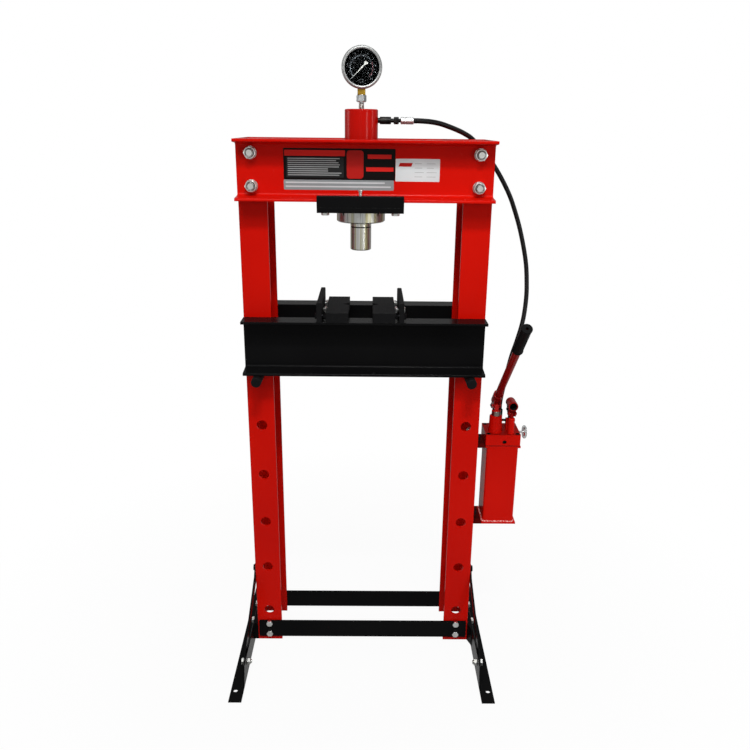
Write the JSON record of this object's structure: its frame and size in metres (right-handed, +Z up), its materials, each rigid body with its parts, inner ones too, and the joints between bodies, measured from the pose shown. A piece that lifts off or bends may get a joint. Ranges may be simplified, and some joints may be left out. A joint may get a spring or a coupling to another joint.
{
  "type": "hydraulic shop press",
  "caption": "Floor-standing H-frame hydraulic shop press with hand pump, hose, gauge, sliding cylinder carriage, pinned bed and arbor blocks.",
  "frame": {"origin": "on the floor, midway between the two columns and under the middle of their depth", "axes": "+X to the right towards the pump, +Y to the back, +Z up the columns"},
  "size_m": [0.9174, 0.7432, 1.853],
  "materials": {
    "red_paint": "gloss red paint with a slight orange peel",
    "dark_red_paint": "gloss dark red paint",
    "black_paint": "gloss black paint with orange peel",
    "dark_steel": "oiled dark grey steel",
    "zinc": "bright zinc plating",
    "bright_steel": "turned and polished steel",
    "black_steel": "black oxide",
    "brass": "turned brass",
    "stainless": "polished stainless steel",
    "dial": "matt black dial",
    "needle": "light silver",
    "glass": "clear",
    "rubber": "smooth black rubber",
    "grip": "satin black rubber",
    "chrome": "chrome plate"
  },
  "bodies": {
    "frame": {"left_column": "red_paint", "right_column": "red_paint", "front_top_beam": "red_paint", "rear_top_beam": "red_paint", "beam_bolts": "zinc", "beam_nuts": "zinc", "front_crossbar": "black_paint", "rear_crossbar": "black_paint", "left_foot": "black_paint", "right_foot": "black_paint", "left_braces": "black_paint", "right_braces": "black_paint", "frame_bolts": "zinc", "frame_nuts": "zinc", "upper_bracket": "red_paint", "lower_bracket": "red_paint", "oil_tank": "red_paint", "head_gasket": "rubber", "pump_head": "red_paint", "head_screws": "black_steel", "relief_screw": "black_steel", "pump_cylinders": "red_paint", "pump_links": "black_steel", "pump_outlet": "zinc", "hose": "rubber"},
    "bed": {"front_bed_channel": "black_paint", "rear_bed_channel": "black_paint", "bed_spacers": "black_paint"},
    "left_pin": {"left_bed_pin": "dark_steel"},
    "right_pin": {"right_bed_pin": "dark_steel"},
    "left_block": {"left_v_block": "dark_steel", "left_side_plate": "dark_steel", "left_block_bolts": "zinc"},
    "right_block": {"right_v_block": "dark_steel", "right_side_plate": "dark_steel", "right_block_bolts": "zinc"},
    "carriage": {"carriage_plate": "black_paint", "carriage_hooks": "black_paint", "carriage_bolts": "zinc", "cylinder": "red_paint", "ring_nut": "bright_steel", "gland": "bright_steel", "return_spring": "bright_steel", "gauge_fitting": "zinc", "gauge_stem": "brass", "gauge_case": "stainless", "gauge_dial": "dial", "gauge_glass": "glass", "hose_coupler": "black_steel", "hose_end": "zinc"},
    "clamp_screw": {"lock_screw": "zinc"},
    "ram": {"ram": "bright_steel"},
    "needle": {"gauge_needle": "needle"},
    "large_lever": {"large_socket": "dark_red_paint", "handle": "dark_red_paint", "handle_grip": "grip"},
    "large_piston": {"large_plunger": "bright_steel"},
    "small_lever": {"small_socket": "dark_red_paint"},
    "small_piston": {"small_plunger": "bright_steel"},
    "release_valve": {"release_screw": "chrome"}
  },
  "joints": [
    {"name": "carriage_slide", "type": "slide", "parent": "frame", "child": "carriage", "axis": [1, 0, 0], "range_m": [-0.14, 0.166], "deforming": ["hose"]},
    {"name": "clamp_screw_turn", "type": "hinge", "parent": "carriage", "child": "clamp_screw", "pos_m": [-0.013, -0.135, 1.48], "axis": [0, 0, 1], "range_deg": [0, 720]},
    {"name": "ram_slide", "type": "slide", "parent": "carriage", "child": "ram", "axis": [0, 0, 1], "range_m": [-0.125, 0], "stiffness_N_per_m": 1500, "springref_m": 0.08, "deforming": ["return_spring"]},
    {"name": "needle_turn", "type": "hinge", "parent": "carriage", "child": "needle", "pos_m": [-0.013, 0, 1.798], "axis": [-0.0698, 0.9976, 0], "range_deg": [0, 270], "stiffness_Nm_per_rad": 0.001},
    {"name": "large_lever_swing", "type": "hinge", "parent": "frame", "child": "large_lever", "pos_m": [0.41, 0.00757, 0.82105], "axis": [1, 0, 0], "range_deg": [0, 40]},
    {"name": "large_piston_slide", "type": "slide", "parent": "frame", "child": "large_piston", "axis": [0, 0, -1], "range_m": [0, 0.0219]},
    {"name": "small_lever_swing", "type": "hinge", "parent": "frame", "child": "small_lever", "pos_m": [0.456, -0.01933, 0.81952], "axis": [1, 0, 0], "range_deg": [-40, 0]},
    {"name": "small_piston_slide", "type": "slide", "parent": "frame", "child": "small_piston", "axis": [0, 0, 1], "range_m": [0, 0.01505]},
    {"name": "release_turn", "type": "hinge", "parent": "frame", "child": "release_valve", "pos_m": [0.486, 0.003, 0.733], "axis": [1, 0, 0], "range_deg": [0, 360]},
    {"name": "bed_lift", "type": "slide", "parent": "frame", "child": "bed", "axis": [0, 0, 1], "range_m": [0, 0.12]},
    {"name": "left_pin_slide", "type": "slide", "parent": "frame", "child": "left_pin", "axis": [0, -1, 0], "range_m": [0, 0.32]},
    {"name": "right_pin_slide", "type": "slide", "parent": "frame", "child": "right_pin", "axis": [0, -1, 0], "range_m": [0, 0.32]},
    {"name": "left_block_slide", "type": "slide", "parent": "bed", "child": "left_block", "axis": [1, 0, 0], "range_m": [-0.12, 0.03]},
    {"name": "right_block_slide", "type": "slide", "parent": "bed", "child": "right_block", "axis": [1, 0, 0], "range_m": [-0.03, 0.14]}
  ],
  "couplings": [
    {"joint": "large_piston_slide", "follows": "large_lever_swing", "m_per_rad": 0.031354},
    {"joint": "small_lever_swing", "follows": "small_piston_slide", "rad_per_m": -46.391}
  ]
}
